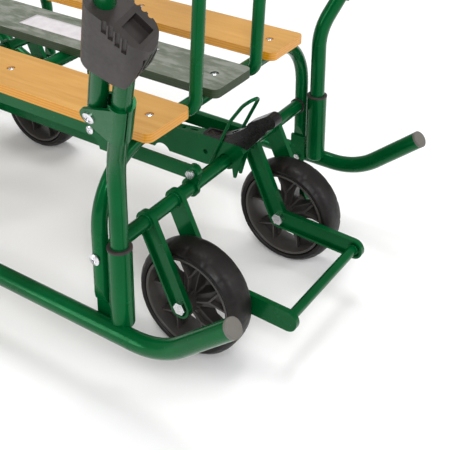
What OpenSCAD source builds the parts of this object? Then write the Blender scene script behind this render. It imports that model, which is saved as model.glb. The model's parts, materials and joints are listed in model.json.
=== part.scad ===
// Child's sled with fold-down transport wheels, a lift-out push handle and a backrest.
// X runs forward, Y to the left and Z up. The origin is on the floor under the middle
// of the whole sled, with the wheels folded down. Lengths along X in the drawings below
// count from the rear axle; centred() moves them to the middle.

/* [Seat] */
// Front overhang of the slats ahead of the nose bar
slat_front = 20; // [12:1:60]
// Width of each slat
slat_w = 69; // [50:1:90]
// Gap between two slats
slat_gap = 43; // [30:1:60]
// Thickness of the plywood
slat_t = 10; // [6:0.5:15]
// Corner radius of the slats
slat_r = 8; // [3:0.5:20]
// Rear overhang of the slats behind the rear hoop
slat_back = 26; // [16:1:50]
// Height of the seat surface above the underside of the runners
seat_up = 201; // [180:1:260]

/* [Runners and hoops] */
// Distance between the centre lines of the runners
track = 400; // [340:1:480]
// Diameter of the runner tube
runner_d = 20; // [16:0.5:26]
// Wall of the frame tubes
tube_wall = 1.8; // [1:0.1:3]
// Runner length behind the rear axle, up to its bend
tail_x = 76.5; // [60:0.5:110]
// Length of the raised tail
tail_run = 103; // [70:1:140]
// Rise angle of the tail
tail_angle = 40; // [20:1:50]
// Bend radius of the tail
tail_r = 90; // [60:1:110]
// Runner length ahead of the front axle, up to its bend
nose_ahead = 90; // [85:1:160]
// Rise angle of the nose
nose_angle = 55; // [45:1:65]
// Bend radius of the nose
nose_r = 130; // [80:1:140]
// Height of the tip of the nose above the seat surface
tip_up = 30; // [15:1:60]
// Diameter of the hoop tube
leg_d = 16; // [12:0.5:20]
// Distance of the hoop legs inside the centre lines of the runners
leg_inset = 8; // [7:0.5:10]
// Bend radius of the hoop
hoop_r = 70; // [40:1:90]
// Height where the legs are pressed flat, above the underside of the runners
flat_up = 40; // [30:1:55]
// Thickness of the flattened foot
foot_t = 4; // [3:0.5:6]
// Width of the flattened foot
foot_w = 20; // [14:1:30]
// Height of the side rails under the slats
rail_h = 12; // [8:0.5:18]
// Thickness of the side rails
rail_t = 5; // [3:0.5:8]
// Distance from the rear hoop to the cross tube that holds the locking lever
cross_x = 190; // [150:1:230]

/* [Push handle] */
// Diameter of the sockets
socket_d = 24; // [22:0.5:30]
// Distance of the sockets inside the centre lines of the runners
socket_inset = 9.4; // [8:0.1:12]
// Distance of the sockets behind the rear axle
socket_back = 23; // [21:0.5:40]
// Height of the socket rim above the underside of the runners
socket_up = 101; // [80:1:130]
// Diameter of the posts and of the handle tube
post_d = 18; // [14:0.5:20]
// Height where the posts bend, above the underside of the runners
bend_up = 190; // [170:1:230]
// Bend radius of the posts
post_r = 90; // [50:1:100]
// Outward splay of the posts
splay = 18.7; // [5:0.1:25]
// Backward lean of the posts, within the splayed plane
lean = 21.5; // [10:0.1:30]
// Length of the post above its bend
post_len = 172; // [160:1:200]
// Distance between post and handle tube
handle_off = 24; // [23:0.5:34]
// Distance from the post's bend up to the screw that carries the handle tube
ear_s = 68; // [60:1:80]
// Distance from the post's bend up to the second bend of the handle
elbow_s = 285; // [270:1:330]
// Height of the grip above the floor
grip_z = 850; // [700:1:950]
// Width of the handle at the grip
grip_span = 470; // [300:1:560]
// Bend radius of the upper corners
corner_r = 60; // [35:1:90]
// Length of the foam grip
grip_len = 300; // [160:1:330]
// Diameter of the foam grip
grip_d = 28; // [24:0.5:40]

/* [Backrest] */
// Distance between the uprights
upright_track = 114; // [90:1:130]
// Diameter of the uprights
upright_d = 14; // [10:0.5:15]
// Height of the backrest above the seat
back_up = 290; // [200:1:360]
// Backward lean of the uprights
back_lean = 3; // [0:0.5:12]
// Height of a backrest board
board_h = 58; // [40:1:80]

/* [Wheels] */
// Wheel diameter
wheel_d = 127; // [100:1:150]
// Tyre width
wheel_w = 38; // [28:1:42]
// Outer diameter of the wheel hub
hub_d = 104; // [80:1:116]
// Distance between the centres of the rear wheels
rear_track = 194; // [180:1:240]
// Distance between the centres of the front wheels
front_track = 262; // [200:1:280]
// Distance between the rear and the front axle
wheelbase = 436; // [340:1:520]
// Height of the axles above the underside of the runners
axle_up = 84.5; // [75:0.5:100]
// Diameter of the axle tubes
axle_d = 16; // [14:0.5:20]
// Distance from axle to wheel centre
arm_len = 98; // [85:1:115]
// Backward tilt of the arms with the wheels down
arm_tilt = 25; // [10:1:35]
// Outside width of a fork
fork_w = 55; // [52:0.5:70]
// Width of an arm
arm_w = 23; // [18:0.5:30]
// Depth of the folded edge of an arm
arm_depth = 6.5; // [4:0.5:7]
// Sheet thickness of the arms
sheet = 2.5; // [1.5:0.1:3.5]
// Diameter of the wheel bolts
bolt_d = 8; // [6:0.5:10]
// Distance from wheel centre to the pedal rod
pedal_reach = 98; // [75:1:130]
// Diameter of the pedal rod
pedal_d = 11; // [8:0.5:16]

/* [Links and lock] */
// Distance from axle to link pin
crank_len = 22.5; // [20:0.5:30]
// Backward tilt of the cranks with the wheels down
crank_tilt = 15; // [0:1:25]
// Distance between the two link bars
link_track = 100; // [80:1:110]
// Height of a link bar
link_h = 16; // [12:0.5:20]
// Thickness of the link bars and cranks
link_t = 4; // [3:0.5:6]
// Sideways place of the locking lever
lock_y = -27; // [-32:1:0]
// Outside width of the locking lever
lock_w = 14; // [12:0.5:16]
// Diameter of the wire of the release loop
wire_d = 4; // [3:0.5:5]

/* [Clearances] */
// Gap at welded and clamped seats
seam = 0.1; // [0.05:0.05:0.2]
// Radial clearance of shafts and sliding tubes
run = 0.06; // [0.02:0.01:0.1]
// Gap between moving pieces
gap = 0.6; // [0.4:0.1:1]

/* [Hidden] */
$fn = 48;

// Extra diameter of the collars in a bent tube, and the play that they cover
joint = 0.1;

// Heights above the floor
ride = wheel_d / 2 + arm_len * cos(arm_tilt) - axle_up;
runner_z = ride + runner_d / 2;
axle_z = ride + axle_up;
seat_z = ride + seat_up;
slat_z = seat_z - slat_t;
hoop_z = slat_z - leg_d / 2;
foot_z = hoop_z;

// Places along and across the sled
leg_y = track / 2 - leg_inset;
socket_y = track / 2 - socket_inset;
seat_w = 3 * slat_w + 2 * slat_gap;
nose_x = wheelbase + nose_ahead;
tip_run = (seat_up + tip_up - runner_d / 2) / sin(nose_angle);
nose_bar_x = nose_x + (hoop_z - runner_z) / tan(nose_angle);
seat_len = slat_back + nose_bar_x + slat_front;
upright_x = -(leg_d / 2 + upright_d / 2 + seam);
wheel_x = -arm_len * sin(arm_tilt);
wheel_z = wheel_d / 2;
pedal_x = wheel_x - pedal_reach;
pedal_z = wheel_z - 4;
axle_half = leg_y - leg_d / 2 - 3;
post_dir = [sin(-lean), sin(splay) * cos(lean), cos(splay) * cos(lean)];

function unit(v) = v / norm(v);
function turn(p, i) = acos(min(1, unit(p[i] - p[i - 1]) * unit(p[i + 1] - p[i])));
function trim(p, b, i) = (i == 0 || i == len(p) - 1) ? 0 : b[i] * tan(turn(p, i) / 2);

// Round bar through the points p, with the bend radius b[i] at point i. A hair-thin
// collar covers each seam between a straight length and a bend.
module pipe(p, b, d) {
    last = len(p) - 2;
    for (i = [0:last]) {
        u = unit(p[i + 1] - p[i]);
        start = p[i] + u * trim(p, b, i);
        length = norm(p[i + 1] - u * trim(p, b, i + 1) - start);
        low = i == 0 ? 0 : joint;
        high = i == last ? length : length - joint;
        translate(start) rotate([0, acos(u.z), atan2(u.y, u.x)]) {
            translate([0, 0, low]) cylinder(d = d, h = high - low);
            if (i > 0) translate([0, 0, -0.5]) cylinder(d = d + joint, h = 1);
            if (i < last) translate([0, 0, length - 0.5]) cylinder(d = d + joint, h = 1);
        }
    }
    for (i = [1:last]) {
        u = unit(p[i] - p[i - 1]);
        w = unit(p[i + 1] - p[i]);
        inward = unit(w - u * (u * w));
        z = cross(-inward, u);
        c = p[i] - u * trim(p, b, i) + inward * b[i];
        multmatrix([[-inward.x, u.x, z.x, c.x], [-inward.y, u.y, z.y, c.y],
                    [-inward.z, u.z, z.z, c.z], [0, 0, 0, 1]])
            rotate_extrude(angle = turn(p, i)) translate([b[i], 0]) circle(d = d);
    }
}

// Open tube along the same kind of path
module tube(p, b, d, wall) {
    last = len(p) - 1;
    first_out = p[0] - unit(p[1] - p[0]);
    last_out = p[last] + unit(p[last] - p[last - 1]);
    inner = [for (i = [0:last]) i == 0 ? first_out : i == last ? last_out : p[i]];
    difference() {
        pipe(p, b, d);
        pipe(inner, b, d - 2 * wall);
    }
}

// Cylinder along Y, centred on y
module rod(d, h, y = 0) {
    translate([0, y + h / 2, 0]) rotate([90, 0, 0]) cylinder(d = d, h = h);
}

// Extrudes a drawing in X and Z over the thickness t, towards +Y from y
module plate(t, y = 0) {
    translate([0, y + t, 0]) rotate([90, 0, 0]) linear_extrude(t) children();
}

// Straight bar with round ends, drawn from a to b
module bar2d(a, b, w) {
    v = b - a;
    translate(a) rotate(atan2(v.y, v.x)) {
        circle(d = w);
        translate([0, -w / 2]) square([norm(v), w]);
        translate([norm(v), 0]) circle(d = w);
    }
}

// Pan head with a cross recess, its seat at z = 0 and its head towards +Z
module pan_head(d, h) {
    difference() {
        intersection() {
            cylinder(d = d, h = h);
            translate([0, 0, h - d]) sphere(r = d);
        }
        for (a = [0, 90]) rotate(a) translate([-d * 0.3, -d * 0.06, h * 0.35]) cube([d * 0.6, d * 0.12, h]);
    }
}

// Moves the drawings from the rear axle to the middle of the sled
module centred() {
    translate([-middle_x, 0, 0]) children();
}

// Runs its children once for each side
module both_sides() {
    children();
    mirror([0, 1, 0]) children();
}

// Places a child in the leaned frame of the left post: X forward, Z along the post
module post_frame() {
    translate([-socket_back, socket_y, ride + bend_up])
        rotate([-splay, 0, 0]) rotate([0, -lean, 0]) children();
}

// Runners --------------------------------------------------------------------

runner_path = [
    [-tail_x - tail_run * cos(tail_angle), track / 2, runner_z + tail_run * sin(tail_angle)],
    [-tail_x, track / 2, runner_z],
    [nose_x, track / 2, runner_z],
    [nose_x + tip_run * cos(nose_angle), track / 2, runner_z + tip_run * sin(nose_angle)]
];
runner_bends = [0, tail_r, nose_r, 0];

module runner_core(extra = 0) {
    pipe(runner_path, runner_bends, runner_d + 2 * extra);
}

module runner_left() {
    color("darkgreen") centred() difference() {
        tube(runner_path, runner_bends, runner_d, tube_wall);
        for (x = [0, wheelbase]) translate([x, track / 2, runner_z]) rod(5, runner_d, -runner_d / 2);
    }
}

module runner_right() {
    mirror([0, 1, 0]) runner_left();
}

// Cap with a stem that plugs into the end of a tube
module cap(d, wall) {
    cylinder(d = d, h = 3);
    translate([0, 0, 3]) cylinder(d1 = d, d2 = d - 2, h = 1);
    translate([0, 0, -14]) cylinder(d = d - 2 * wall - 2 * seam, h = 14);
}

module runner_caps() {
    color("dimgray") centred() both_sides() {
        translate(runner_path[0]) rotate([0, tail_angle - 90, 0]) cap(runner_d, tube_wall);
        translate(runner_path[3]) rotate([0, 90 - nose_angle, 0]) cap(runner_d, tube_wall);
    }
}

// Hoops ----------------------------------------------------------------------

hoop_path = [
    [0, leg_y, ride + flat_up - 6], [0, leg_y, hoop_z], [0, -leg_y, hoop_z], [0, -leg_y, ride + flat_up - 6]
];
hoop_bends = [0, hoop_r, hoop_r, 0];
hoop_hollow = [for (p = hoop_path) [p.x, p.y, max(p.z, ride + flat_up + 16)]];
foot_y = track / 2 - runner_d / 2 - seam;

// Wedge that presses the lower end of a leg flat
module leg_press() {
    low = ride + flat_up - 7;
    for (s = [-1, 1]) translate([-leg_d, leg_y, 0]) rotate([90, 0, 90]) linear_extrude(2 * leg_d)
        polygon([[s * foot_t / 2, low], [s * leg_d, low], [s * leg_d, low + 22], [s * leg_d / 2, low + 22]]);
}

module hoop() {
    difference() {
        pipe(hoop_path, hoop_bends, leg_d);
        pipe(hoop_hollow, hoop_bends, leg_d - 2 * tube_wall);
        both_sides() leg_press();
        both_sides() translate([0, leg_y, axle_z]) rod(bolt_d + 2 * seam, leg_d * 2);
    }
    both_sides() difference() {
        plate(foot_t, foot_y - foot_t) {
            translate([-foot_w / 2, runner_z]) square([foot_w, flat_up - runner_d / 2]);
            translate([0, runner_z]) circle(d = foot_w);
        }
        translate([0, foot_y, runner_z]) rod(5, foot_t * 4);
    }
}

module rear_hoop() {
    color("darkgreen") centred() hoop();
}

module front_hoop() {
    color("darkgreen") centred() translate([wheelbase, 0, 0]) hoop();
}

module nose_bar() {
    half = track / 2;
    color("darkgreen") centred() difference() {
        tube([[nose_bar_x, -half, hoop_z], [nose_bar_x, half, hoop_z]], [0, 0], leg_d, tube_wall);
        both_sides() runner_core(seam);
    }
}

rail_y = seat_w / 2 - rail_t;

module cross_tube() {
    half = rail_y - seam;
    color("darkgreen") centred()
        tube([[cross_x, -half, hoop_z], [cross_x, half, hoop_z]], [0, 0], leg_d, tube_wall);
}

// Bolts from the inside through the flattened feet into rivet nuts in the runners
module foot_bolts() {
    nut_in = runner_d / 2 - tube_wall - 1.3;
    color("silver") centred() both_sides() for (x = [0, wheelbase]) translate([x, 0, runner_z]) {
        rod(5 - 2 * seam, track / 2 - foot_y + foot_t, (track / 2 + foot_y - foot_t) / 2);
        rod(7, nut_in, track / 2 - nut_in / 2);
        translate([0, foot_y - foot_t, 0]) rotate([90, 0, 0]) cylinder(d = 9, h = 3.5, $fn = 6);
    }
}

// Seat -----------------------------------------------------------------------

rail_screw_x = 47;
gusset_len = 52;

module rail_left() {
    color("darkgreen") centred() difference() {
        union() {
            plate(rail_t, rail_y) difference() {
                translate([leg_d / 2 - 4, slat_z - rail_h]) square([nose_bar_x + leg_d / 2 - 4, rail_h]);
                translate([nose_bar_x, slat_z - rail_h]) square([leg_d * 2, rail_h]);
            }
            plate(rail_t, rail_y) difference() {
                translate([leg_d / 2 - 4, slat_z - 2 * rail_h]) square([gusset_len - leg_d / 2, 2 * rail_h]);
                translate([gusset_len - 4, slat_z - 2 * rail_h]) circle(r = rail_h);
            }
        }
        for (x = [0, wheelbase]) translate([x, 0, 0]) pipe(hoop_path, hoop_bends, leg_d + 2 * seam);
        translate([nose_bar_x, 0, hoop_z]) rod(leg_d + 2 * seam, track);
        translate([rail_screw_x, rail_y, slat_z - rail_h / 2]) rod(4, rail_t * 4);
        translate([rail_screw_x - 12, rail_y, slat_z - rail_h / 2]) rod(4.5, rail_t * 4);
    }
}

module rail_right() {
    mirror([0, 1, 0]) rail_left();
}

module rail_screws() {
    both_sides() translate([rail_screw_x, rail_y, slat_z - rail_h / 2]) {
        translate([0, rail_t, 0]) rotate([-90, 0, 0]) pan_head(9, 2.5);
        rod(4 - 2 * seam, rail_t + 4, rail_t / 2 - 2);
        rotate([90, 0, 0]) cylinder(d = 8, h = 3, $fn = 6);
    }
}

slat_screw_x = [0, cross_x, wheelbase, nose_bar_x];
head_d = 9;
head_h = 1.8;
head_seat = slat_t - head_h - seam;

module slat(y) {
    difference() {
        translate([-slat_back, y - slat_w / 2, slat_z]) linear_extrude(slat_t) {
            translate([slat_r, 0]) square([seat_len - 2 * slat_r, slat_w]);
            translate([0, slat_r]) square([seat_len, slat_w - 2 * slat_r]);
            for (cx = [slat_r, seat_len - slat_r], cy = [slat_r, slat_w - slat_r]) translate([cx, cy]) circle(r = slat_r);
        }
        for (x = slat_screw_x) translate([x, y, slat_z]) {
            translate([0, 0, -1]) cylinder(d = 4.5, h = slat_t + 2);
            translate([0, 0, head_seat]) cylinder(d = head_d + 4 * seam, h = slat_t);
        }
    }
}

module slat_left() {
    color("goldenrod") centred() slat(slat_w + slat_gap);
}

module slat_middle() {
    color("darkseagreen") centred() slat(0);
}

module slat_right() {
    color("goldenrod") centred() slat(-slat_w - slat_gap);
}

module seat_screws() {
    color("silver") centred() rail_screws();
    color("silver") centred() for (x = slat_screw_x, i = [-1:1]) translate([x, i * (slat_w + slat_gap), slat_z]) {
        translate([0, 0, head_seat]) pan_head(head_d, head_h);
        translate([0, 0, seam]) cylinder(d = 4.5 - 2 * seam, h = head_seat - seam);
    }
}

// Sockets --------------------------------------------------------------------

socket_low = runner_d * 0.7;
socket_floor = runner_d + 3;
bush_wall = 0.8;
socket_bore = post_d + 2 * run + 2 * bush_wall + 2 * seam;

module socket_left() {
    color("darkgreen") centred() difference() {
        translate([-socket_back, socket_y, ride]) difference() {
            translate([0, 0, socket_low]) rotate_extrude() {
                square([socket_d / 2 - 4, socket_up - socket_low]);
                translate([0, 4]) square([socket_d / 2, socket_up - socket_low - 4]);
                intersection() {
                    translate([socket_d / 2 - 4, 4]) circle(r = 4);
                    square([socket_d, socket_up]);
                }
            }
            translate([0, 0, socket_floor]) cylinder(d = socket_bore, h = socket_up);
        }
        runner_core(seam);
    }
}

module socket_right() {
    mirror([0, 1, 0]) socket_left();
}

module socket_bushes() {
    color("dimgray") centred() both_sides() translate([-socket_back, socket_y, ride]) difference() {
        union() {
            translate([0, 0, socket_up]) cylinder(d = socket_d + 1, h = 1.6);
            translate([0, 0, socket_up + 1.6]) cylinder(d1 = socket_d + 1, d2 = socket_d - 1, h = 0.8);
            translate([0, 0, socket_up - 30]) cylinder(d = socket_bore - 2 * seam, h = 30);
        }
        cylinder(d = post_d + 2 * run, h = 2 * socket_up);
    }
}

// Axle bolts that run through the legs into the axle ends
module axle_bolts() {
    color("silver") centred() both_sides() for (x = [0, wheelbase]) translate([x, leg_y, axle_z]) {
        rod(bolt_d, leg_d / 2 + 24 + seam, leg_d / 4 - 12 + seam / 2);
        translate([0, leg_d / 2 + seam, 0]) rotate([-90, 0, 0]) pan_head(bolt_d * 1.5, 3);
    }
}

// Backrest -------------------------------------------------------------------

back_h = seat_z + back_up - foot_z;
back_top = [upright_x - back_h * tan(back_lean), upright_track / 2, foot_z + back_h];
backrest_path = [
    [0, upright_track / 2, foot_z], [upright_x, upright_track / 2, foot_z], back_top,
    [back_top.x, -back_top.y, back_top.z], [upright_x, -upright_track / 2, foot_z],
    [0, -upright_track / 2, foot_z]
];

// Bent tube whose feet curve forward and are welded to the back of the rear hoop
module backrest_frame() {
    color("darkgreen") centred() difference() {
        tube(backrest_path, [0, -upright_x, 50, 50, -upright_x, 0], upright_d, 1.5);
        pipe(hoop_path, hoop_bends, leg_d + 2 * seam);
    }
}

// Places a child on the front of the uprights, at height h above the seat
module on_back(h) {
    z = seat_z + h - foot_z;
    translate([upright_x - z * tan(back_lean), 0, foot_z + z]) rotate([0, -back_lean, 0])
        translate([upright_d / 2 + seam, 0, 0]) children();
}

board_rows = [back_up - board_h / 2 - 4, back_up - 1.5 * board_h - 34];

module board() {
    difference() {
        rotate([90, 0, 90]) linear_extrude(slat_t) {
            square([seat_w - 2 * slat_r, board_h], center = true);
            square([seat_w, board_h - 2 * slat_r], center = true);
            for (sx = [-1, 1], sy = [-1, 1])
                translate([sx * (seat_w / 2 - slat_r), sy * (board_h / 2 - slat_r)]) circle(r = slat_r);
        }
        for (s = [-1, 1]) translate([-1, s * upright_track / 2, 0]) rotate([0, 90, 0]) cylinder(d = 4.5, h = slat_t * 2);
    }
}

module backrest_boards() {
    color("goldenrod") centred() for (h = board_rows) on_back(h) board();
}

module backrest_screws() {
    color("silver") centred() for (h = board_rows) on_back(h) both_sides() translate([0, upright_track / 2, 0]) {
        translate([slat_t, 0, 0]) rotate([0, 90, 0]) pan_head(9, 2);
        translate([seam, 0, 0]) rotate([0, 90, 0]) cylinder(d = 4.5 - 2 * seam, h = slat_t - seam);
    }
}

// Push handle ----------------------------------------------------------------

post_base = [-socket_back, socket_y, ride + bend_up];
post_front = [cos(lean), sin(splay) * sin(lean), cos(splay) * sin(lean)];
sleeve_low = ear_s - 18;
sleeve_len = 48;
sleeve_r = post_d / 2 + seam + 3;
sleeve_slit = 150;
slit_w = 1.6;
ear_r = 10;
ear_bolt = 6;
handle_end = ear_s - ear_r;

// Middle of the whole length, from the back of the grip to the tip of the nose
tip_x = nose_x + (tip_run + 4) * cos(nose_angle) + (runner_d / 2 - 1) * sin(nose_angle);
function flip(p) = [p.x, -p.y, p.z];

// Point on the circle c with radius r where the line from p touches it
function tangent(p, c, r, side) =
    let (v = c - p, a = atan2(v.y, v.x) + side * asin(r / norm(v)))
    p + sqrt(v * v - r * r) * [cos(a), sin(a)];

module post_left() {
    foot = [post_base.x, post_base.y, ride + socket_floor];
    color("darkgreen") centred() tube([foot, post_base, post_base + post_len * post_dir], [0, post_r, 0], post_d, tube_wall);
}

module post_right() {
    mirror([0, 1, 0]) post_left();
}

module ear2d() {
    ear = [handle_off, ear_s];
    low = [0, sleeve_low];
    high = [0, sleeve_low + sleeve_len];
    translate(ear) circle(r = ear_r);
    polygon([low, tangent(low, ear, ear_r, -1), ear, tangent(high, ear, ear_r, 1), high]);
}

module bracket_left() {
    color("darkgreen") centred() post_frame() difference() {
        union() {
            translate([0, 0, sleeve_low]) cylinder(r = sleeve_r, h = sleeve_len);
            plate(2 * sleeve_r, -sleeve_r) ear2d();
        }
        cylinder(d = post_d + 2 * seam, h = 2 * post_len);
        translate([0, -post_d / 2 - seam, 0]) cube([60, post_d + 2 * seam, 2 * post_len]);
        rotate(sleeve_slit) translate([0, -slit_w / 2, 0]) cube([2 * sleeve_r, slit_w, 2 * post_len]);
        translate([handle_off, 0, ear_s]) rod(ear_bolt + 2 * seam, 60);
    }
}

module bracket_right() {
    mirror([0, 1, 0]) bracket_left();
}

handle_low = post_base + handle_off * post_front + handle_end * post_dir;
handle_elbow = post_base + handle_off * post_front + elbow_s * post_dir;
handle_top = [handle_elbow.x - (grip_z - handle_elbow.z) * tan(lean), grip_span / 2, grip_z];
handle_path = [
    handle_low, handle_elbow, handle_top, flip(handle_top), flip(handle_elbow), flip(handle_low)
];

middle_x = (handle_top.x - grip_d / 2 + tip_x) / 2;

module handle_tube() {
    color("darkgreen") centred() difference() {
        tube(handle_path, [0, 80, corner_r, corner_r, 80, 0], post_d, tube_wall);
        both_sides() post_frame() translate([handle_off, 0, ear_s]) rod(ear_bolt + 2 * seam, 60);
    }
}

module handle_grip() {
    color("dimgray") centred() translate([handle_top.x, 0, grip_z]) difference() {
        union() {
            rod(grip_d, grip_len - 8);
            rod(grip_d - 6, grip_len);
        }
        rod(post_d + 2 * seam, grip_len * 2);
    }
}

module ear_screws() {
    color("silver") centred() both_sides() post_frame() translate([handle_off, 0, ear_s]) {
        rod(ear_bolt, 2 * sleeve_r);
        translate([0, sleeve_r, 0]) rotate([-90, 0, 0]) pan_head(ear_bolt * 2, 3);
        translate([0, -sleeve_r, 0]) rotate([90, 0, 0]) cylinder(d = ear_bolt * 1.9, h = 4, $fn = 6);
    }
}

clamp_w = post_d + 15;
clamp_low = post_len - 33;
clamp_side = [
    [handle_off + 18, clamp_low + 2], [handle_off + 18, clamp_low + 73], [6, clamp_low + 66],
    [-20, clamp_low + 55], [-24, clamp_low + 48], [-15, clamp_low + 11], [-12, clamp_low + 4],
    [0, clamp_low], [handle_off, clamp_low]
];

module clamp_left() {
    color("dimgray") centred() post_frame() difference() {
        intersection() {
            plate(clamp_w, -clamp_w / 2) polygon(clamp_side);
            translate([0, 0, clamp_low]) linear_extrude(100) bar2d([clamp_w / 2 - 24, 0], [handle_off, 0], clamp_w);
        }
        translate([handle_off, 0, 0]) cylinder(d = post_d + 2 * run, h = 2 * elbow_s);
        cylinder(d = post_d + 2 * run, h = post_len + seam);
        translate([-7, 0, clamp_low + 60.5]) rotate([0, -23, 0]) translate([-10, -9, -8]) cube([19, 18, 20]);
        for (s = [-1, 1], i = [0:3])
            translate([12 - 6.5 * i, s * (clamp_w / 2 + 0.4), clamp_low + 55 - 3 * i]) cylinder(r = 2.4, h = 30);
        for (y = [-8, 0, 8]) translate([-15, y, clamp_low + 12]) rotate([0, -13.7, 0])
            translate([-4, -1.5, 4]) cube([7, 3, 26]);
    }
}

module clamp_right() {
    mirror([0, 1, 0]) clamp_left();
}

// Rear lifting set -----------------------------------------------------------

axle_bore = axle_d - 2 * tube_wall;
link_y = link_track / 2;
crank_y = link_y - link_t / 2 - gap - link_t;
crank_up = [-crank_len * sin(crank_tilt), crank_len * cos(crank_tilt)];
pin_d = 6;

// Crank plate beside a link bar, drawn about the axle
module crank() {
    plate(link_t, crank_y) difference() {
        union() {
            bar2d([0, 0], crank_up, link_h);
            circle(d = axle_d + 6);
        }
        translate(crank_up) circle(d = pin_d + 2 * seam);
    }
}

// Axle tube with its two cranks, drawn about its own centre line
module axle() {
    difference() {
        union() {
            rod(axle_d, 2 * axle_half);
            both_sides() crank();
        }
        rod(axle_bore, 2 * axle_half + 2);
    }
}

module rear_axle() {
    color("darkgreen") centred() translate([0, 0, axle_z]) difference() {
        union() {
            axle();
            difference() {
                rod(axle_d + 8, lock_w - 2 * sheet - 2 * gap, lock_y);
                rotate([0, 30, 0]) translate([-2, lock_y - lock_w, axle_d / 2]) cube([4, 2 * lock_w, 9]);
            }
        }
        rod(axle_bore, 2 * axle_half + 2);
    }
}

module rear_bushes() {
    color("dimgray") centred() translate([0, 0, axle_z]) bushes();
}

// Both flanged bushes of an axle
module bushes() {
    both_sides() difference() {
        union() {
            rod(axle_bore - 2 * seam, 16, axle_half - 8);
            rod(axle_d + 3, leg_y - leg_d / 2 - gap - axle_half, (leg_y - leg_d / 2 - gap + axle_half) / 2);
        }
        rod(bolt_d + 2 * run, 80, axle_half);
    }
}

// Outline of an arm through the points p, with a disc over the elbow
module arm2d(p, w) {
    last = len(p) - 1;
    bar2d(p[0], p[1], w);
    if (last > 1) {
        translate(p[1]) circle(d = w + 4 * joint);
        mid = p[1] + unit(p[2] - p[1]) * w / 4;
        bar2d(mid, p[2], w);
    }
}

// Pressed channel arm, its web against the wheel and its edges turned outwards.
// The points p are taken from the axle, the second one being the wheel centre.
module arm(p, y, side) {
    difference() {
        translate([0, y, 0]) scale([1, side, 1]) difference() {
            plate(arm_depth) arm2d(p, arm_w);
            plate(arm_depth, sheet) difference() {
                arm2d(p, arm_w - 2 * sheet);
                circle(d = axle_d + 5);
            }
        }
        rod(axle_d + 2 * seam, 600);
        translate([p[1].x, 0, p[1].y]) rod(bolt_d + 2 * seam, 600);
        if (len(p) > 2) translate([p[2].x, 0, p[2].y]) rod(pedal_d + 2 * seam, 600);
    }
}

web_off = fork_w / 2 - arm_depth;
arm_down = [wheel_x, wheel_z - axle_z];
pedal_end = [pedal_x, pedal_z - axle_z];

module rear_arm_left() {
    color("darkgreen") centred() translate([0, 0, axle_z]) arm([[0, 0], arm_down], rear_track / 2 + web_off, 1);
}

module rear_arm_right() {
    mirror([0, 1, 0]) rear_arm_left();
}

module pedal_arm_left() {
    color("darkgreen") centred() translate([0, 0, axle_z])
        arm([[0, 0], arm_down, pedal_end], rear_track / 2 - web_off, -1);
}

module pedal_arm_right() {
    mirror([0, 1, 0]) pedal_arm_left();
}

module pedal_rod() {
    color("darkgreen") centred() translate([pedal_x, 0, pedal_z]) rod(pedal_d, rear_track - 2 * web_off);
}

// Bolt with head and nut through a fork, its head outside
module wheel_bolt(y) {
    translate([0, y, 0]) {
        rod(bolt_d, fork_w);
        translate([0, web_off + sheet, 0]) rotate([-90, 0, 0]) cylinder(d = bolt_d * 1.8, h = 5.5, $fn = 6);
        translate([0, -web_off - sheet, 0]) rotate([90, 0, 0]) cylinder(d = bolt_d * 1.8, h = 6.5, $fn = 6);
    }
}

module rear_bolts() {
    color("silver") centred() both_sides() translate([wheel_x, 0, wheel_z]) wheel_bolt(rear_track / 2);
}

module pins(clear) {
    both_sides() translate([crank_up.x, 0, crank_up.y]) {
        rod(pin_d - 2 * clear, 2 * link_t + 4, crank_y + link_t + 0.5);
        translate([0, link_y + link_t / 2 + gap, 0]) rotate([-90, 0, 0]) cylinder(d = 10, h = 4.5, $fn = 6);
        translate([0, crank_y - 2.5, 0]) rotate([-90, 0, 0]) cylinder(d = 10, h = 2.5 - seam);
    }
}

module link_pins() {
    color("silver") centred() translate([0, 0, axle_z]) pins(0);
}

// Front lifting set ----------------------------------------------------------

module front_axle() {
    color("darkgreen") centred() translate([wheelbase, 0, axle_z]) axle();
}

module front_bushes() {
    color("dimgray") centred() translate([wheelbase, 0, axle_z]) bushes();
}

module front_arms_left() {
    color("darkgreen") centred() translate([wheelbase, 0, axle_z]) {
        arm([[0, 0], arm_down], front_track / 2 + web_off, 1);
        arm([[0, 0], arm_down], front_track / 2 - web_off, -1);
    }
}

module front_arms_right() {
    mirror([0, 1, 0]) front_arms_left();
}

module front_bolts() {
    color("silver") centred() both_sides() translate([wheelbase + wheel_x, 0, wheel_z]) wheel_bolt(front_track / 2);
}

module front_pins() {
    color("silver") centred() translate([wheelbase, 0, axle_z]) pins(0);
}

front_play = 0.35;

module link_bars() {
    color("darkgreen") centred() both_sides() translate([crank_up.x, 0, axle_z + crank_up.y])
        plate(link_t, link_y - link_t / 2) difference() {
            bar2d([0, 0], [wheelbase, 0], link_h);
            circle(d = pin_d + 2 * run);
            translate([wheelbase, 0]) circle(d = pin_d + 2 * front_play);
        }
}

// Wheels ---------------------------------------------------------------------

module tyre(x, y) {
    half = wheel_w / 2;
    color("black") centred() translate([x, y, wheel_z]) rotate([90, 0, 0]) rotate_extrude($fn = 96) difference() {
        union() {
            translate([hub_d / 2, -half]) square([wheel_d / 2 - hub_d / 2 - 6, wheel_w]);
            translate([hub_d / 2, 6 - half]) square([wheel_d / 2 - hub_d / 2, wheel_w - 12]);
            for (s = [-1, 1]) translate([wheel_d / 2 - 6, s * (half - 6)]) circle(r = 6);
        }
        square([2 * hub_d / 2 + 2 * seam, 2 * wheel_w], center = true);
        for (s = [-1, 1]) translate([wheel_d / 2, s * half / 3]) circle(r = 1.2);
    }
}

module tyre_rear_left() {
    tyre(wheel_x, rear_track / 2);
}

module tyre_rear_right() {
    tyre(wheel_x, -rear_track / 2);
}

module tyre_front_left() {
    tyre(wheelbase + wheel_x, front_track / 2);
}

module tyre_front_right() {
    tyre(wheelbase + wheel_x, -front_track / 2);
}

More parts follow.
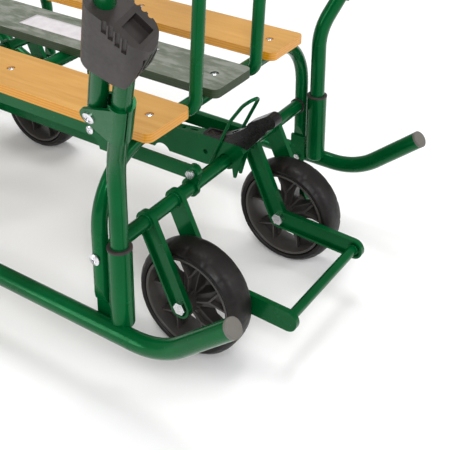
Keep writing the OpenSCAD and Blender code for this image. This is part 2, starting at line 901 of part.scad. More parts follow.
spokes = 5;
spoke_w = 13;
boss_d = 28;
rim_wall = 5;

module hub(x, y) {
    half = web_off - gap;
    rim_half = wheel_w / 2 - 2;
    color("dimgray") centred() translate([x, y, wheel_z]) rotate([90, 0, 0]) difference() {
        union() {
            translate([0, 0, -rim_half]) difference() {
                cylinder(d = hub_d, h = 2 * rim_half, $fn = 96);
                translate([0, 0, -1]) cylinder(d = hub_d - 2 * rim_wall, h = 2 * rim_half + 2, $fn = 96);
            }
            cylinder(d = boss_d, h = 2 * half, center = true);
            intersection() {
                translate([0, 0, -rim_half]) linear_extrude(2 * rim_half) for (i = [0:spokes - 1])
                    rotate(i * 360 / spokes) translate([-spoke_w / 2, 0]) square([spoke_w, hub_d / 2 - 1]);
                rotate_extrude() polygon([
                    [0, -rim_half], [boss_d / 2, -rim_half], [hub_d / 2 - 1, 7 - rim_half],
                    [hub_d / 2 - 1, rim_half - 7], [boss_d / 2, rim_half], [0, rim_half]
                ]);
            }
        }
        cylinder(d = bolt_d + 2 * run, h = 4 * half, center = true);
    }
}

module hub_rear_left() {
    hub(wheel_x, rear_track / 2);
}

module hub_rear_right() {
    hub(wheel_x, -rear_track / 2);
}

module hub_front_left() {
    hub(wheelbase + wheel_x, front_track / 2);
}

module hub_front_right() {
    hub(wheelbase + wheel_x, -front_track / 2);
}

// Lock -----------------------------------------------------------------------

lock_pin = [cross_x, axle_z + 10.5];
lock_top = axle_z + 24;
lock_side = [
    [lock_pin.x, lock_pin.y + 9], [70, lock_pin.y + 9], [30, lock_top], [-20, lock_top],
    [-24, axle_z + 16], [-axle_d / 2 - 11, axle_z], [-axle_d / 2 - 6, axle_z - 18],
    [-axle_d / 2 - 3, axle_z - 18], [-axle_d / 2 - gap, axle_z], [axle_d / 2 + gap, axle_z],
    [axle_d / 2 + 5, axle_z - 9], [26, axle_z - 13], [112, axle_z - 13],
    [lock_pin.x - 30, lock_pin.y - 9], [lock_pin.x, lock_pin.y - 9]
];

module lock_outline() {
    difference() {
        union() {
            polygon(lock_side);
            translate(lock_pin) circle(r = 9);
        }
        translate([0, axle_z]) circle(r = axle_d / 2 + gap);
        translate([90, axle_z - 18]) circle(r = 12);
    }
}

module lock_lever() {
    color("darkgreen") centred() difference() {
        plate(lock_w, lock_y - lock_w / 2) lock_outline();
        plate(lock_w - 2 * sheet, lock_y - lock_w / 2 + sheet) {
            translate([0, -sheet]) polygon(concat([for (p = lock_side) p], [[lock_pin.x + 9, lock_pin.y + 9]]));
            translate([-30, axle_z - 40]) square([cross_x + 60, 44]);
            translate([lock_pin.x, lock_pin.y - 12]) square([12, 24]);
        }
        translate([lock_pin.x, 0, lock_pin.y]) rod(pin_d + 2 * run, 200);
        translate([27, 0, axle_z + 3]) rod(6, 200);
        translate([62, lock_y, axle_z]) cylinder(d = 5, h = 60);
        translate([-10, lock_y, axle_z]) cylinder(d = 4, h = 60);
        translate([42, lock_y - 1.5, axle_z]) cube([10, 3, 60]);
    }
}

cap_screw = [-10, lock_top + 13];

module latch_cap() {
    color("dimgray") centred() difference() {
        plate(lock_w, lock_y - lock_w / 2) {
            polygon([
                [30, lock_top + seam], [30, lock_top + 3], [6, lock_top + 5], cap_screw, [-33, lock_top + 30],
                [-60, lock_top + 40], [-52, lock_top + 26], [-29, lock_top - 2], [-24, lock_top + seam]
            ]);
            bar2d([-36, lock_top + 27], [-57, lock_top + 41], 15);
        }
        translate([-10, lock_y, lock_top]) cylinder(d = 4, h = 60);
        translate([-10, lock_y, cap_screw.y - 4]) cylinder(d = 9, h = 60);
        translate([9, lock_y - 5, lock_top + 2.4]) cube([17, 10, 9]);
    }
}

module latch_screw() {
    color("silver") centred() translate([-10, lock_y, cap_screw.y - 4]) {
        pan_head(8, 2);
        translate([0, 0, lock_top - cap_screw.y - sheet + 4]) cylinder(d = 4 - 2 * seam, h = cap_screw.y - lock_top + sheet - 4);
    }
}

loop_side = lock_w / 2 + wire_d / 2 + seam;
loop_path = [
    [19, loop_side, axle_z - 8], [-8, loop_side, axle_z + 53], [-24, loop_side, axle_z + 76],
    [-40, loop_side, axle_z + 91], [-33, -loop_side, axle_z + 80], [-12, -loop_side, axle_z + 37],
    [19, -loop_side, axle_z - 8]
];

module release_loop() {
    color("darkgreen") centred() translate([0, lock_y, 0]) pipe(loop_path, [0, 60, 40, 7, 8, 30, 0], wire_d);
}

hanger_in = lock_w / 2 + gap;

module lever_hanger() {
    color("darkgreen") centred() translate([0, lock_y, 0]) both_sides() plate(3, hanger_in) difference() {
        union() {
            translate(lock_pin) circle(r = 9);
            translate([lock_pin.x - 9, lock_pin.y]) square([18, hoop_z - lock_pin.y]);
        }
        translate([cross_x, hoop_z]) circle(d = leg_d + 2 * seam);
        translate(lock_pin) circle(d = pin_d + 2 * seam);
    }
}

module lever_pin() {
    color("silver") centred() translate([lock_pin.x, lock_y, lock_pin.y]) {
        rod(pin_d, lock_w + 2 * gap + 6);
        both_sides() translate([0, hanger_in + 3, 0]) rotate([-90, 0, 0]) cylinder(d = 10, h = 2.5);
    }
}

runner_left();
runner_right();
runner_caps();
rear_hoop();
front_hoop();
nose_bar();
cross_tube();
foot_bolts();
rail_left();
rail_right();
slat_left();
slat_middle();
slat_right();
seat_screws();
socket_left();
socket_right();
socket_bushes();
axle_bolts();
backrest_frame();
backrest_boards();
backrest_screws();
lever_hanger();
lever_pin();
post_left();
post_right();
bracket_left();
bracket_right();
handle_tube();
handle_grip();
ear_screws();
clamp_left();
clamp_right();
rear_axle();
rear_bushes();
rear_arm_left();
rear_arm_right();
pedal_arm_left();
pedal_arm_right();
pedal_rod();
rear_bolts();
front_axle();
front_bushes();
front_arms_left();
front_arms_right();
front_bolts();
link_pins();
front_pins();
link_bars();
tyre_rear_left();
tyre_rear_right();
tyre_front_left();
tyre_front_right();
hub_rear_left();
hub_rear_right();
hub_front_left();
hub_front_right();
lock_lever();
latch_cap();
latch_screw();
release_loop();
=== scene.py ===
import json
import math

import bmesh
import bpy
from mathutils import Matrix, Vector


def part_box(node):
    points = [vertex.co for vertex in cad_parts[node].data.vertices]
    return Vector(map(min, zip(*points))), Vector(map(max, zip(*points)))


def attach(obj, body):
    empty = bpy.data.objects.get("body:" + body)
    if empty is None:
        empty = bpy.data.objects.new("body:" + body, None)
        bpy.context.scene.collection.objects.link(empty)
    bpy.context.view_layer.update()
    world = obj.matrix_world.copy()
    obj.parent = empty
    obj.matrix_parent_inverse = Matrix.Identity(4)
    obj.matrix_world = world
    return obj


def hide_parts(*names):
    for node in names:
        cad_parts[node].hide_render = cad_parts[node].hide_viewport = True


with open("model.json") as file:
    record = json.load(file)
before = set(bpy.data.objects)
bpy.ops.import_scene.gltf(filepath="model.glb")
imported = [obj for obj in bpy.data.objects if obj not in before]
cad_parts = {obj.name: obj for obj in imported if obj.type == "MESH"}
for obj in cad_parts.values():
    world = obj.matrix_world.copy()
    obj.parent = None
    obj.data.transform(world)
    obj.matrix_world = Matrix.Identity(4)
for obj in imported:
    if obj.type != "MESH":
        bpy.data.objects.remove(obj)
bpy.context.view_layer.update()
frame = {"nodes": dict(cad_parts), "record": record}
NODES = frame["nodes"]
JOINTS = {j["name"]: j for j in frame["record"]["behaviour"]["joints"]}

# ---------------------------------------------------------------------------
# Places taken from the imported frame
# ---------------------------------------------------------------------------
REAR = Vector(JOINTS["wheel_lift_rear"]["pos_m"])
FRONT = Vector(JOINTS["wheel_lift_front"]["pos_m"])
SEAT_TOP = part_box("slat_middle")[1][2]


# ---------------------------------------------------------------------------
# Materials
# ---------------------------------------------------------------------------
def new_material(name):
    mat = bpy.data.materials.new(name)
    mat.use_nodes = True
    tree = mat.node_tree
    shader = tree.nodes["Principled BSDF"]
    return mat, tree, shader


def node(tree, kind, **props):
    made = tree.nodes.new(kind)
    for key, value in props.items():
        setattr(made, key, value)
    return made


def coords(tree, scale=(1, 1, 1)):
    where = node(tree, "ShaderNodeTexCoord")
    mapping = node(tree, "ShaderNodeMapping")
    mapping.inputs["Scale"].default_value = scale
    tree.links.new(where.outputs["Object"], mapping.inputs["Vector"])
    return mapping.outputs["Vector"]


def noise(tree, vector, scale, detail=3.0, rough=0.55):
    made = node(tree, "ShaderNodeTexNoise")
    made.inputs["Scale"].default_value = scale
    made.inputs["Detail"].default_value = detail
    made.inputs["Roughness"].default_value = rough
    tree.links.new(vector, made.inputs["Vector"])
    return made.outputs["Fac"]


def ramp(tree, fac, stops):
    made = node(tree, "ShaderNodeValToRGB")
    ends = made.color_ramp.elements
    while len(ends) < len(stops):
        ends.new(0.5)
    for end, (place, colour) in zip(ends, stops):
        end.position = place
        end.color = colour if len(colour) == 4 else (*colour, 1)
    tree.links.new(fac, made.inputs["Fac"])
    return made.outputs["Color"]


def bump(tree, height, shader, strength, distance, after=None):
    made = node(tree, "ShaderNodeBump")
    made.inputs["Strength"].default_value = strength
    made.inputs["Distance"].default_value = distance
    tree.links.new(height, made.inputs["Height"])
    if after is not None:
        tree.links.new(after, made.inputs["Normal"])
    tree.links.new(made.outputs["Normal"], shader.inputs["Normal"])
    return made.outputs["Normal"]


def value_ramp(tree, fac, low, high, a=0.35, b=0.65):
    made = node(tree, "ShaderNodeMapRange")
    made.inputs["From Min"].default_value = a
    made.inputs["From Max"].default_value = b
    made.inputs["To Min"].default_value = low
    made.inputs["To Max"].default_value = high
    tree.links.new(fac, made.inputs["Value"])
    return made.outputs["Result"]


def blend_colour(tree, fac, a, b):
    made = node(tree, "ShaderNodeMix", data_type="RGBA")
    for end, colour in (("A", a), ("B", b)):
        port = next(i for i in made.inputs if i.name == end and i.type == "RGBA")
        if isinstance(colour, tuple):
            port.default_value = (*colour, 1)
        else:
            tree.links.new(colour, port)
    factor = next(i for i in made.inputs if i.name == "Factor" and i.type == "VALUE")
    tree.links.new(fac, factor)
    return next(o for o in made.outputs if o.type == "RGBA")


def paint_material():
    """Glossy green powder coat: slow patches of darker and lighter green, fine orange peel and runs."""
    mat, tree, shader = new_material("green_powder_coat")
    place = coords(tree)
    patches = noise(tree, place, 18, 4)
    dark, middle, light = (0.0, 0.047, 0.011), (0.0, 0.062, 0.015), (0.0004, 0.080, 0.021)
    base = ramp(tree, patches, [(0.25, dark), (0.55, middle), (0.8, light)])
    tree.links.new(base, shader.inputs["Base Color"])
    smears = noise(tree, place, 60, 5)
    tree.links.new(value_ramp(tree, smears, 0.16, 0.28), shader.inputs["Roughness"])
    shader.inputs["Coat Weight"].default_value = 0.05
    shader.inputs["Coat Roughness"].default_value = 0.06
    shader.inputs["Specular IOR Level"].default_value = 0.42
    shader.inputs["Specular Tint"].default_value = (0.10, 0.85, 0.32, 1)
    peel = noise(tree, place, 900, 2)
    first = bump(tree, peel, shader, 0.06, 0.0004)
    runs = noise(tree, place, 140, 2)
    bump(tree, runs, shader, 0.05, 0.0012, first)
    return mat


# Height of one pair of light and dark plywood layers
LAYER_PITCH = 0.0029


def plywood_material(name, face, face_dark, face_light, edge_a, edge_b, gloss, worn=None):
    """Plywood with long grain on its faces and glue lines on its edges."""
    mat, tree, shader = new_material(name)
    grain = noise(tree, coords(tree, (1.0, 14.0, 14.0)), 9, 8, 0.65)
    colour = ramp(tree, grain, [(0.28, face_dark), (0.5, face), (0.74, face_light)])
    pores = noise(tree, coords(tree, (6.0, 190.0, 190.0)), 8, 3, 0.7)
    dark = tuple(c * 0.62 for c in face_dark)
    colour = blend_colour(tree, value_ramp(tree, pores, 0.0, 0.35, 0.62, 0.80), colour, dark)
    if worn:
        patches = noise(tree, coords(tree, (3.0, 9.0, 9.0)), 11, 7, 0.7)
        colour = blend_colour(tree, value_ramp(tree, patches, 0.0, 1.0, 0.46, 0.60), colour, worn)
        speckle = noise(tree, coords(tree, (30.0, 90.0, 90.0)), 9, 4, 0.8)
        colour = blend_colour(tree, value_ramp(tree, speckle, 0.0, 0.8, 0.60, 0.72), colour, dark)
    # Layers: bands along Z, seen only where the surface isn't facing up or down
    where = node(tree, "ShaderNodeTexCoord")
    split = node(tree, "ShaderNodeSeparateXYZ")
    tree.links.new(where.outputs["Object"], split.inputs["Vector"])
    wave = node(tree, "ShaderNodeMath", operation="SINE")
    times = node(tree, "ShaderNodeMath", operation="MULTIPLY")
    times.inputs[1].default_value = 2 * math.pi / LAYER_PITCH
    tree.links.new(split.outputs["Z"], times.inputs[0])
    tree.links.new(times.outputs["Value"], wave.inputs[0])
    layers = ramp(tree, wave.outputs["Value"], [(0.0, edge_a), (0.35, edge_a), (0.75, edge_b)])
    fibres = noise(tree, coords(tree, (60.0, 60.0, 900.0)), 3, 4)
    fibre_mask = value_ramp(tree, fibres, 0.0, 0.45, 0.45, 0.75)
    layers = blend_colour(tree, fibre_mask, layers, tuple(c * 0.6 for c in edge_a))
    normal = node(tree, "ShaderNodeNewGeometry")
    up = node(tree, "ShaderNodeSeparateXYZ")
    tree.links.new(normal.outputs["Normal"], up.inputs["Vector"])
    level = node(tree, "ShaderNodeMath", operation="ABSOLUTE")
    tree.links.new(up.outputs["Z"], level.inputs[0])
    flat_mask = value_ramp(tree, level.outputs["Value"], 0.0, 1.0, 0.35, 0.6)
    tree.links.new(blend_colour(tree, flat_mask, layers, colour), shader.inputs["Base Color"])
    tree.links.new(value_ramp(tree, grain, gloss, gloss + 0.14), shader.inputs["Roughness"])
    shader.inputs["Coat Weight"].default_value = 0.25 if worn is None else 0.05
    shader.inputs["Coat Roughness"].default_value = 0.25
    first = bump(tree, grain, shader, 0.10, 0.0006)
    bump(tree, pores, shader, 0.12, 0.0003, first)
    return mat


def plastic_material(name, low, high, gloss, grain=1400, strength=0.10):
    """Moulded plastic with a fine spark-eroded grain and faint colour drift."""
    mat, tree, shader = new_material(name)
    place = coords(tree)
    drift = noise(tree, place, 30, 4)
    tree.links.new(ramp(tree, drift, [(0.3, low), (0.7, high)]), shader.inputs["Base Color"])
    rough = value_ramp(tree, noise(tree, place, 220, 3), gloss, gloss + 0.12)
    tree.links.new(rough, shader.inputs["Roughness"])
    shader.inputs["Specular IOR Level"].default_value = 0.32
    first = bump(tree, noise(tree, place, grain, 2), shader, strength, 0.0002)
    bump(tree, drift, shader, 0.05, 0.0010, first)
    return mat


def rubber_material():
    """Matt black rubber with a little dust."""
    mat, tree, shader = new_material("tyre_rubber")
    place = coords(tree)
    dust = noise(tree, place, 45, 6, 0.7)
    dark, middle, dusty = (0.0030, 0.0018, 0.0016), (0.0045, 0.0029, 0.0026), (0.0080, 0.0056, 0.0050)
    base = ramp(tree, dust, [(0.30, dark), (0.55, middle), (0.80, dusty)])
    tree.links.new(base, shader.inputs["Base Color"])
    tree.links.new(value_ramp(tree, noise(tree, place, 160, 4), 0.40, 0.56), shader.inputs["Roughness"])
    shader.inputs["Specular IOR Level"].default_value = 0.28
    bump(tree, noise(tree, place, 700, 3), shader, 0.10, 0.0003)
    return mat


def zinc_material():
    """Bright zinc plate, clouded and slightly rough."""
    mat, tree, shader = new_material("zinc_plate")
    place = coords(tree)
    cloud = noise(tree, place, 260, 4)
    base = ramp(tree, cloud, [(0.3, (0.55, 0.55, 0.57)), (0.7, (0.80, 0.80, 0.82))])
    tree.links.new(base, shader.inputs["Base Color"])
    shader.inputs["Metallic"].default_value = 1.0
    tree.links.new(value_ramp(tree, noise(tree, place, 900, 3), 0.18, 0.36), shader.inputs["Roughness"])
    bump(tree, cloud, shader, 0.08, 0.0002)
    return mat


def foam_material():
    """Black foam with an open cell surface."""
    mat, tree, shader = new_material("foam_grip")
    place = coords(tree)
    cells = node(tree, "ShaderNodeTexVoronoi")
    cells.inputs["Scale"].default_value = 900
    tree.links.new(place, cells.inputs["Vector"])
    base = ramp(tree, noise(tree, place, 80, 5), [(0.3, (0.010, 0.010, 0.011)), (0.7, (0.028, 0.027, 0.026))])
    tree.links.new(base, shader.inputs["Base Color"])
    tree.links.new(value_ramp(tree, noise(tree, place, 300, 3), 0.80, 0.95), shader.inputs["Roughness"])
    bump(tree, cells.outputs["Distance"], shader, 0.5, 0.0006)
    return mat


def paper_material():
    """Off-white paper with faint creases."""
    mat, tree, shader = new_material("paper_label")
    place = coords(tree)
    base = ramp(tree, noise(tree, place, 90, 5), [(0.3, (0.53, 0.50, 0.52)), (0.7, (0.62, 0.59, 0.61))])
    tree.links.new(base, shader.inputs["Base Color"])
    tree.links.new(value_ramp(tree, noise(tree, place, 40, 3), 0.35, 0.5), shader.inputs["Roughness"])
    bump(tree, noise(tree, coords(tree, (1, 3, 1)), 60, 3), shader, 0.12, 0.0006)
    return mat


GREEN = paint_material()
YELLOW_PLY = plywood_material(
    "yellow_plywood", (0.52, 0.265, 0.050), (0.45, 0.215, 0.034), (0.58, 0.310, 0.075),
    (0.62, 0.270, 0.005), (0.50, 0.185, 0.003), 0.30,
)
GREEN_PLY = plywood_material(
    "green_plywood", (0.105, 0.122, 0.088), (0.066, 0.082, 0.052), (0.155, 0.170, 0.135),
    (0.010, 0.026, 0.004), (0.018, 0.038, 0.007), 0.50, (0.200, 0.212, 0.180),
)
GRAY = plastic_material("gray_plastic", (0.024, 0.020, 0.0185), (0.036, 0.030, 0.028), 0.36)
CAP_GRAY = plastic_material("cap_plastic", (0.105, 0.098, 0.086), (0.140, 0.130, 0.116), 0.45)
HUB_GRAY = plastic_material("hub_plastic", (0.020, 0.018, 0.0165), (0.034, 0.030, 0.0275), 0.28)
# Lighter copy of the hub plastic: painted highlight on the raised rim and ribs, which are the same plastic as
# the spokes and boss
HUB_PAINTED_HIGHLIGHT = plastic_material("hub_plastic_painted_highlight", (0.038, 0.034, 0.031), (0.060, 0.054, 0.050), 0.30)
BLACK = plastic_material("black_plastic", (0.005, 0.004, 0.0045), (0.010, 0.008, 0.0085), 0.22, 900, 0.06)
RUBBER = rubber_material()
ZINC = zinc_material()
FOAM = foam_material()
PAPER = paper_material()

LOOKS = {
    "green_paint": GREEN, "yellow_wood": YELLOW_PLY, "green_wood": GREEN_PLY,
    "gray_plastic": GRAY, "hub_plastic": HUB_GRAY, "black_plastic": BLACK,
    "tyre": RUBBER, "zinc": ZINC, "foam": FOAM,
}
SLOT_OF = {p["node"]: p["material_slot"] for p in frame["record"]["subparts"]}


def dress(obj, mat):
    obj.data.materials.clear()
    obj.data.materials.append(mat)


for name, obj in NODES.items():
    dress(obj, LOOKS[SLOT_OF[name]])
dress(NODES["runner_caps"], CAP_GRAY)


# ---------------------------------------------------------------------------
# Pieces built here
# ---------------------------------------------------------------------------
def finish_mesh(name, bm, mat, body, smooth=True, bevel=0.0, levels=0):
    """Turns a bmesh into a piece with its material, riding on a body."""
    bmesh.ops.recalc_face_normals(bm, faces=bm.faces)
    data = bpy.data.meshes.new(name)
    bm.to_mesh(data)
    bm.free()
    data.materials.append(mat)
    for face in data.polygons:
        face.use_smooth = smooth
    obj = bpy.data.objects.new(name, data)
    bpy.context.collection.objects.link(obj)
    if bevel:
        mod = obj.modifiers.new("bevel", "BEVEL")
        mod.width = bevel
        mod.segments = 2
        mod.limit_method = "ANGLE"
        mod.angle_limit = math.radians(35)
        mod.harden_normals = True
    if levels:
        mod = obj.modifiers.new("subdivide", "SUBSURF")
        mod.levels = levels
        mod.render_levels = levels
    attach(obj, body)
    return obj


def lathe(profile, steps, wobble=None):
    """Closed ring about the Y axis from (radius, y) points; wobble(step, point) moves a point outwards."""
    bm = bmesh.new()
    rings = []
    for i in range(steps):
        a = 2 * math.pi * i / steps
        ring = []
        for k, (r, y) in enumerate(profile):
            r2 = r + (wobble(i, k) if wobble else 0.0)
            ring.append(bm.verts.new((r2 * math.cos(a), y, r2 * math.sin(a))))
        rings.append(ring)
    count = len(profile)
    for i in range(steps):
        here, there = rings[i], rings[(i + 1) % steps]
        for k in range(count):
            m = (k + 1) % count
            bm.faces.new((here[k], here[m], there[m], there[k]))
    return bm


def shift(bm, place):
    bmesh.ops.translate(bm, verts=bm.verts, vec=place)
    return bm


def wheel_middle(name):
    """Middle, radius and half width of a wheel's node."""
    low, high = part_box(name)
    return (low + high) / 2, (high.z - low.z) / 2, (high.y - low.y) / 2


# Tyres: a notch crosses both shoulders at every tenth step, at these points of the profile
TREAD_STEPS = 160
NOTCH_EVERY = 10
NOTCH_DEPTH = 0.0008
SHOULDER_POINTS = {3, 4, 5, 8, 9, 10}
TYRE_GAP = 0.0002


def make_tyre(tag):
    """Solid rubber tyre with round shoulders and shallow notches across each shoulder."""
    place, outer, half = wheel_middle("tyre_" + tag)
    inner = wheel_middle("hub_" + tag)[1] + TYRE_GAP
    thick = outer - inner
    # Radius and depth, from the seat on the hub over the side wall and shoulder to the tread
    side = [
        (inner, half - 0.003), (inner + 0.0015, half - 0.0006), (inner + 0.45 * thick, half - 0.0002),
        (outer - 0.0052, half - 0.0022), (outer - 0.0030, half - 0.0040), (outer - 0.0012, half - 0.0075),
        (outer - 0.0001, half * 0.35),
    ]
    profile = [(r, -y) for r, y in side] + list(reversed(side))

    def notches(step, point):
        return -NOTCH_DEPTH if point in SHOULDER_POINTS and step % NOTCH_EVERY == 0 else 0.0

    tread = shift(lathe(profile, TREAD_STEPS, notches), place)
    obj = finish_mesh("tyre_" + tag + "_tread", tread, RUBBER, "wheel_" + tag, levels=1)
    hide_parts("tyre_" + tag)


def prism(bm, outline, low, high):
    """Closed prism over an outline in X and Z; low and high give its two depths along Y at a radius."""
    sides = []
    for depth in (low, high):
        sides.append([bm.verts.new((x, depth(math.hypot(x, z)), z)) for x, z in outline])
    n = len(outline)
    bm.faces.new(sides[0])
    bm.faces.new(list(reversed(sides[1])))
    for i in range(n):
        j = (i + 1) % n
        bm.faces.new((sides[0][i], sides[1][i], sides[1][j], sides[0][j]))


# Hubs: R is a radius, HALF half a width, and the others are distances in from an edge or a face
SPOKES = 5
BORE_R = 0.0042
BOSS_END_R = 0.0100
BOSS_MID_R = 0.0140
EDGE = 0.0008
RIM_LIP = 0.0028
RIM_SLOPE = 0.0034
RIM_CROWN = 0.0056
RIM_CROWN_HALF = 0.0018
RIM_IN_TYRE = 0.002
ROOT_R = 0.0095
SPOKE_HALVES = (0.0068, 0.0095, 0.0150)
SPOKE_END = 0.0040
SPOKE_DEPTH = 0.62
SPOKE_DRAFT = 0.0075
RIB_HALF = 0.0011
RIB_END = 0.0050
RIB_IN = 0.0020
RIB_DRAFT = 0.0060
GUSSET_IN = 0.0030


def polar(turn, r, w):
    """Point at radius r along a spoke at the angle turn, w to its side."""
    return (r * math.cos(turn) - w * math.sin(turn), r * math.sin(turn) + w * math.cos(turn))


def spoke_turns():
    """Angles of the spokes, the first one straight up."""
    return [math.radians(90 + 360 / SPOKES * i) for i in range(SPOKES)]


def hub_piece(tag, part, bm, place, mat, **finish):
    """Puts one part of a hub in place on its wheel."""
    obj = finish_mesh(f"hub_{tag}_{part}", shift(bm, place), mat, "wheel_" + tag, **finish)
    return obj


def hub_rim(outer, rim_half):
    """Rim band, thickest in the middle like a moulded part with draft."""
    side = [
        (outer - RIM_LIP, rim_half), (outer - RIM_SLOPE, rim_half - EDGE),
        (outer - RIM_CROWN, RIM_CROWN_HALF),
    ]
    inside = side + [(r, -y) for r, y in reversed(side)]
    return lathe([(outer, -rim_half), (outer, rim_half)] + inside, 96)


def hub_boss(boss_half):
    """Boss with its bore, fattest in the middle and chamfered at both ends."""
    side = [(BORE_R, boss_half), (BOSS_END_R, boss_half), (BOSS_END_R + EDGE, boss_half - EDGE)]
    other = [(r, -y) for r, y in reversed(side)]
    return lathe([other[-1]] + side + [(BOSS_MID_R, 0.0)] + other[:-1], 48)


def hub_spokes(outer, rim_half):
    """Broad spokes that widen and get shallower towards the rim."""
    bm = bmesh.new()
    tip_r = outer - SPOKE_END
    edge = list(zip((ROOT_R, 0.5 * (ROOT_R + tip_r), tip_r), SPOKE_HALVES))

    def face(r):
        return rim_half * SPOKE_DEPTH - SPOKE_DRAFT * (r - ROOT_R) / (outer - ROOT_R)

    for turn in spoke_turns():
        outline = [polar(turn, r, -w) for r, w in edge] + [polar(turn, r, w) for r, w in reversed(edge)]
        prism(bm, outline, lambda r: -face(r), face)
    return bm


def hub_ribs(outer, rim_half):
    """Thin ribs along the spokes that fork into a star, and short gussets at the boss."""
    bm = bmesh.new()
    reach = outer - RIB_END
    fork = 0.55 * reach
    gusset_face = rim_half - GUSSET_IN

    def rib_face(r):
        return rim_half - RIB_IN - RIB_DRAFT * r / outer

    # Outlines as radius and distance to the side of the spoke
    stem = [(ROOT_R, -RIB_HALF), (fork, -RIB_HALF), (fork, RIB_HALF), (ROOT_R, RIB_HALF)]
    left = [(fork - 0.0010, 0.0006), (fork + 0.0012, -0.0010), (reach, 0.0122), (reach, 0.0148)]
    right = [(fork - 0.0010, -0.0006), (reach, -0.0148), (reach, -0.0122), (fork + 0.0012, 0.0010)]
    gusset = [(0.0100, 0.0050), (0.0120, 0.0055), (0.0150, 0.0058), (0.0100, 0.0030)]
    for turn in spoke_turns():
        for rib in (stem, left, right):
            prism(bm, [polar(turn, *p) for p in rib], lambda r: -rib_face(r), rib_face)
        mirrored = [(r, -w) for r, w in reversed(gusset)]
        for outline in (mirrored, gusset):
            prism(bm, [polar(turn, *p) for p in outline], lambda r: -gusset_face, lambda r: gusset_face)
    return bm


def make_hub(tag):
    """Moulded hub: wide rim band, five broad spokes with open windows between, forked ribs and boss."""
    place, outer, boss_half = wheel_middle("hub_" + tag)
    rim_half = wheel_middle("tyre_" + tag)[2] - RIM_IN_TYRE
    # The rim gets the lighter copy of the hub plastic as a painted highlight
    rim = hub_piece(tag, "rim", hub_rim(outer, rim_half), place, HUB_PAINTED_HIGHLIGHT, bevel=0.0004)
    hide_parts("hub_" + tag)
    hub_piece(tag, "boss", hub_boss(boss_half), place, HUB_GRAY, bevel=0.0004)
    spokes = hub_spokes(outer, rim_half)
    hub_piece(tag, "spokes", spokes, place, HUB_GRAY, smooth=False, bevel=0.0012)
    ribs = hub_ribs(outer, rim_half)
    # The ribs get the lighter copy of the hub plastic as a painted highlight
    hub_piece(tag, "ribs", ribs, place, HUB_PAINTED_HIGHLIGHT, smooth=False, bevel=0.0004)


for wheel in ("rear_left", "rear_right", "front_left", "front_right"):
    make_tyre(wheel)
    make_hub(wheel)


# Label: its ends and sides, its gap over the slat, its thickness, and how far it waves and curls
LABEL_X = (-0.134, 0.056)
LABEL_Y = (-0.016, 0.015)
LABEL_GAP = 0.00008
LABEL_THICK = 0.00012
LABEL_WAVE = 0.00025
LABEL_CURL = 0.0007
CURLED_PART = 0.06


def make_label():
    """Blank paper label glued to the middle slat, slightly wavy and lifted at its rear edge."""
    bm = bmesh.new()
    nx, ny = 38, 8
    grid = []
    for i in range(nx + 1):
        row = []
        for j in range(ny + 1):
            u, v = i / nx, j / ny
            x = LABEL_X[0] + (LABEL_X[1] - LABEL_X[0]) * u
            y = LABEL_Y[0] + (LABEL_Y[1] - LABEL_Y[0]) * v
            waves = LABEL_WAVE * (0.5 + 0.5 * math.sin(23 * u + 3 * v)) * (1 - abs(2 * v - 1))
            curl = LABEL_CURL * max(0.0, (CURLED_PART - u) / CURLED_PART) ** 2
            row.append(bm.verts.new((x, y, SEAT_TOP + LABEL_GAP + waves + curl)))
        grid.append(row)
    for i in range(nx):
        for j in range(ny):
            bm.faces.new((grid[i][j], grid[i + 1][j], grid[i + 1][j + 1], grid[i][j + 1]))
    obj = finish_mesh("slat_label", bm, PAPER, "frame")
    mod = obj.modifiers.new("thickness", "SOLIDIFY")
    mod.thickness = LABEL_THICK
    mod.offset = 1


make_label()


# Radius of a bead of weld, and of the axles it goes round
WELD_R = 0.0011
AXLE_R = 0.0081


def weld_bead(name, centre, radius, body):
    """Rippled bead of weld round a joint about the Y axis, under the paint."""
    axis = Vector((0, 1, 0))
    side = axis.orthogonal().normalized()
    other = axis.cross(side)
    bm = bmesh.new()
    steps, around = 72, 7
    rings = []
    for i in range(steps):
        a = 2 * math.pi * i / steps
        out = side * math.cos(a) + other * math.sin(a)
        middle = Vector(centre) + out * radius
        r = WELD_R * (1.0 + 0.16 * math.sin(i * 2.1) + 0.08 * math.sin(i * 0.9))
        rings.append([
            bm.verts.new(middle + (out * math.cos(b) + axis * math.sin(b)) * r)
            for b in (2 * math.pi * k / around for k in range(around))
        ])
    for i in range(steps):
        here, there = rings[i], rings[(i + 1) % steps]
        for k in range(around):
            m = (k + 1) % around
            bm.faces.new((here[k], here[m], there[m], there[k]))
    obj = finish_mesh(name, bm, GREEN, body)


def weld_all():
    """Beads where the arms meet their axles and where the pedal rod meets its arms."""
    rod_low, rod_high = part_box("pedal_rod")
    rod = (rod_low + rod_high) / 2
    rod_r = (rod_high.z - rod_low.z) / 2
    pedal_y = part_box("pedal_arm_left")[0].y
    arms = (
        ("pedal_arm", "pedal_arm_left", "rear_lift", REAR),
        ("rear_arm", "rear_arm_left", "rear_lift", REAR),
        ("front_arms", "front_arms_left", "front_lift", FRONT),
    )
    for side, tag in ((-1, "right"), (1, "left")):
        weld_bead("weld_pedal_" + tag, (rod.x, side * pedal_y, rod.z), rod_r, "rear_lift")
        for label, arm, body, pivot in arms:
            low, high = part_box(arm)
            for n, y in enumerate((low.y, high.y)):
                weld_bead(f"weld_{label}_{tag}_{n}", (pivot.x, side * y, pivot.z), AXLE_R, body)


weld_all()


# ---------------------------------------------------------------------------
# Camera, light and floor
# ---------------------------------------------------------------------------
def aim(yaw, pitch):
    """Direction at a yaw from +X and a pitch above the floor, in degrees."""
    y, p = math.radians(yaw), math.radians(pitch)
    return Vector((math.cos(y) * math.cos(p), math.sin(y) * math.cos(p), math.sin(p)))


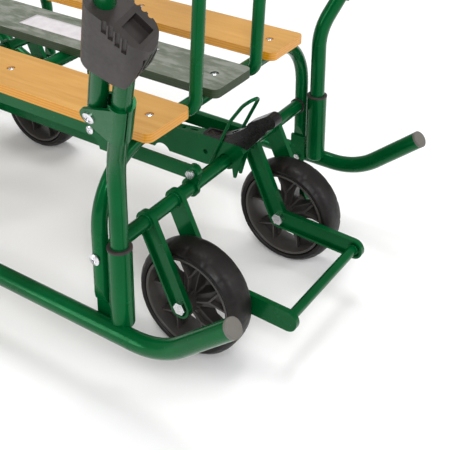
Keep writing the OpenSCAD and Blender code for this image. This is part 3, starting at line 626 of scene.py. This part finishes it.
# The photograph's viewing angle: behind the sled, to its left and above it
RUNNER_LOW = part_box("runner_left")[0][2]
CAMERA_PLACE = (REAR.x - 0.5285, 0.762, RUNNER_LOW + 0.6404)
CAMERA_YAW = -55.94
CAMERA_PITCH = -20.99
LENS = 76.744
LENS_SHIFT = -0.5
camera_data = bpy.data.cameras.new("camera")
camera_data.sensor_width = 36
camera_data.lens = LENS
camera_data.shift_y = LENS_SHIFT
camera_data.clip_start = 0.01
camera_data.clip_end = 50
camera = bpy.data.objects.new("camera", camera_data)
bpy.context.collection.objects.link(camera)
camera.location = CAMERA_PLACE
camera.rotation_mode = "QUATERNION"
camera.rotation_quaternion = aim(CAMERA_YAW, CAMERA_PITCH).to_track_quat("-Z", "Y")
bpy.context.scene.camera = camera

scene = bpy.context.scene
scene.view_settings.view_transform = "Standard"
scene.view_settings.look = "None"
scene.view_settings.exposure = 0
world = bpy.data.worlds.new("studio")
scene.world = world
world.use_nodes = True
background = world.node_tree.nodes["Background"]
background.inputs["Color"].default_value = (1, 1, 1, 1)
background.inputs["Strength"].default_value = 0.42


def area_light(name, place, target, size, power):
    """Soft rectangular light that faces its target; size in metres, power in watts."""
    data = bpy.data.lights.new(name, "AREA")
    data.shape = "RECTANGLE"
    data.size, data.size_y = size
    data.energy = power
    obj = bpy.data.objects.new(name, data)
    bpy.context.collection.objects.link(obj)
    obj.location = place
    obj.rotation_mode = "QUATERNION"
    obj.rotation_quaternion = (Vector(target) - Vector(place)).to_track_quat("-Z", "Y")


area_light("key", place=(-1.6, 1.9, 2.0), target=(-0.1, 0, 0.2), size=(0.7, 1.4), power=46)
area_light("fill", place=(1.2, 2.2, 1.0), target=(0, 0, 0.2), size=(0.5, 1.6), power=16)
area_light("top", place=(0.1, -0.5, 2.4), target=(0, 0, 0), size=(1.2, 1.2), power=34)
area_light("back", place=(-2.2, -0.9, 1.3), target=(-0.1, 0, 0.2), size=(0.6, 1.4), power=18)

floor_mesh = bmesh.new()
bmesh.ops.create_grid(floor_mesh, x_segments=1, y_segments=1, size=6)
floor_data = bpy.data.meshes.new("floor")
floor_mesh.to_mesh(floor_data)
floor_mesh.free()
floor = bpy.data.objects.new("floor", floor_data)
bpy.context.collection.objects.link(floor)
floor_look, _, floor_shader = new_material("pale_floor")
floor_shader.inputs["Base Color"].default_value = (0.93, 0.93, 0.93, 1)
floor_shader.inputs["Roughness"].default_value = 0.9
floor_shader.inputs["Specular IOR Level"].default_value = 0.1
floor_data.materials.append(floor_look)
